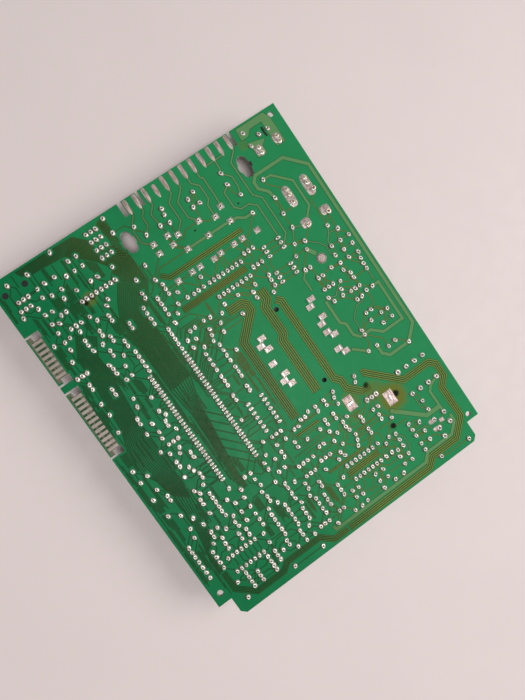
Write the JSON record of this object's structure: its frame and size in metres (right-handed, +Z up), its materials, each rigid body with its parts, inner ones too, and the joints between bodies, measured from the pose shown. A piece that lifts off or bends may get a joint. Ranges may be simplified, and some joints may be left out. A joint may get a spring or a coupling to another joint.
{
  "type": "game console motherboard",
  "caption": "Motherboard seen from its solder side, with its parts and a screening box beneath, edge contacts, slide switches, a volume control and adjusting screws.",
  "frame": {"origin": "centre of the board outline, on the floor that the screening box lid and the tall cans rest on", "axes": "+Z up out of the solder side, +Y along the long side towards the wide edge contacts, +X across the board, away from the fine contact tabs"},
  "size_m": [0.156, 0.1906, 0.0189],
  "materials": {
    "laminate": "green lacquered glass-fibre laminate",
    "lacquered_copper": "copper under green lacquer",
    "power_lacquer": "wide copper under green lacquer",
    "tin_plate": "dull tinned copper",
    "worn_contact": "dull brown fine contacts",
    "solder": "bright flowed solder",
    "tinned_wire": "tinned wire",
    "black_mould": "black moulding compound",
    "resistor_coat": "tan resistor coating",
    "ceramic_coat": "ochre dipped coating",
    "can_sleeve": "shrink sleeve",
    "rubber_bung": "rubber bung",
    "network_coat": "brown dipped coating",
    "dark_plastic": "dark switch plastic",
    "pale_plastic": "pale lever plastic",
    "red_plastic": "red lever plastic",
    "shaft_metal": "turned metal",
    "trimmer_blue": "blue trimmer case",
    "brass_screw": "brass screw",
    "tin_sheet": "tinned sheet steel",
    "former_plastic": "cream coil former",
    "ferrite": "grey ferrite",
    "clip_brass": "sprung brass clip",
    "clear_glass": "clear glass tube",
    "cap_metal": "plated end cap",
    "winding_copper": "enamelled copper winding",
    "relay_plastic": "cream relay case",
    "sink_aluminium": "plain aluminium",
    "filter_case": "dark blue filter case",
    "crystal_metal": "crystal can"
  },
  "bodies": {
    "board_assembly": {"board": "laminate", "bus_traces": "lacquered_copper", "signal_traces": "lacquered_copper", "power_copper": "power_lacquer", "wide_contacts": "tin_plate", "fine_contacts": "worn_contact", "solder_processor": "solder", "solder_chips": "solder", "solder_resistors": "solder", "solder_capacitors": "solder", "solder_small_parts": "solder", "solder_power_parts": "solder", "ground_lands": "tin_plate", "test_pins": "tinned_wire", "processor_body": "black_mould", "processor_leads": "tinned_wire", "chip_bodies": "black_mould", "chip_leads": "tinned_wire", "resistor_bodies": "resistor_coat", "resistor_leads": "tinned_wire", "wire_links": "tinned_wire", "ceramic_discs": "ceramic_coat", "ceramic_leads": "tinned_wire", "electrolytic_cans": "can_sleeve", "electrolytic_bungs": "rubber_bung", "electrolytic_leads": "tinned_wire", "transistor_bodies": "black_mould", "transistor_leads": "tinned_wire", "resistor_network": "network_coat", "resistor_network_leads": "tinned_wire", "function_switch_case": "dark_plastic", "function_switch_terminals": "tinned_wire", "volume_control_case": "dark_plastic", "volume_control_terminals": "tinned_wire", "power_switch_case": "dark_plastic", "power_switch_terminals": "tinned_wire", "trimmer_body": "trimmer_blue", "trimmer_leads": "tinned_wire", "screen_box": "tin_sheet", "screen_lid": "tin_sheet", "coil_formers": "former_plastic", "fuse_clips": "clip_brass", "fuse_glass": "clear_glass", "fuse_caps": "cap_metal", "line_choke_core": "ferrite", "line_choke_windings": "winding_copper", "relay_case": "relay_plastic", "relay_pins": "tinned_wire", "heat_sink": "sink_aluminium", "regulator_body": "black_mould", "regulator_leads": "tinned_wire", "line_filters": "filter_case", "filter_leads": "tinned_wire", "crystal_can": "crystal_metal"},
    "function_lever": {"function_switch_lever": "pale_plastic"},
    "volume_shaft": {"volume_control_shaft": "shaft_metal"},
    "power_lever": {"power_switch_lever": "red_plastic"},
    "trimmer_rotor": {"trimmer_screw": "brass_screw"},
    "upper_core": {"upper_coil_core": "ferrite"},
    "lower_core": {"lower_coil_core": "ferrite"}
  },
  "joints": [
    {"name": "function_switch_slide", "type": "slide", "parent": "board_assembly", "child": "function_lever", "axis": [1, 0, 0], "range_m": [-0.00125, 0.00125]},
    {"name": "volume_turn", "type": "hinge", "parent": "board_assembly", "child": "volume_shaft", "pos_m": [-0.0687, 0.08775, 0.005], "axis": [0, 0, -1], "range_deg": [-150, 150]},
    {"name": "power_switch_slide", "type": "slide", "parent": "board_assembly", "child": "power_lever", "axis": [0, 1, 0], "range_m": [-0.002, 0.002]},
    {"name": "trimmer_turn", "type": "hinge", "parent": "board_assembly", "child": "trimmer_rotor", "pos_m": [0.0723, 0.02425, 0.0085], "axis": [0, 0, -1], "range_deg": [-135, 135]},
    {"name": "upper_core_turn", "type": "hinge", "parent": "board_assembly", "child": "upper_core", "pos_m": [0.0239, 0.01425, 0.012], "axis": [0, 0, 1], "range_deg": [-360, 360]},
    {"name": "lower_core_turn", "type": "hinge", "parent": "board_assembly", "child": "lower_core", "pos_m": [0.0239, -0.02655, 0.012], "axis": [0, 0, 1], "range_deg": [-360, 360]}
  ]
}
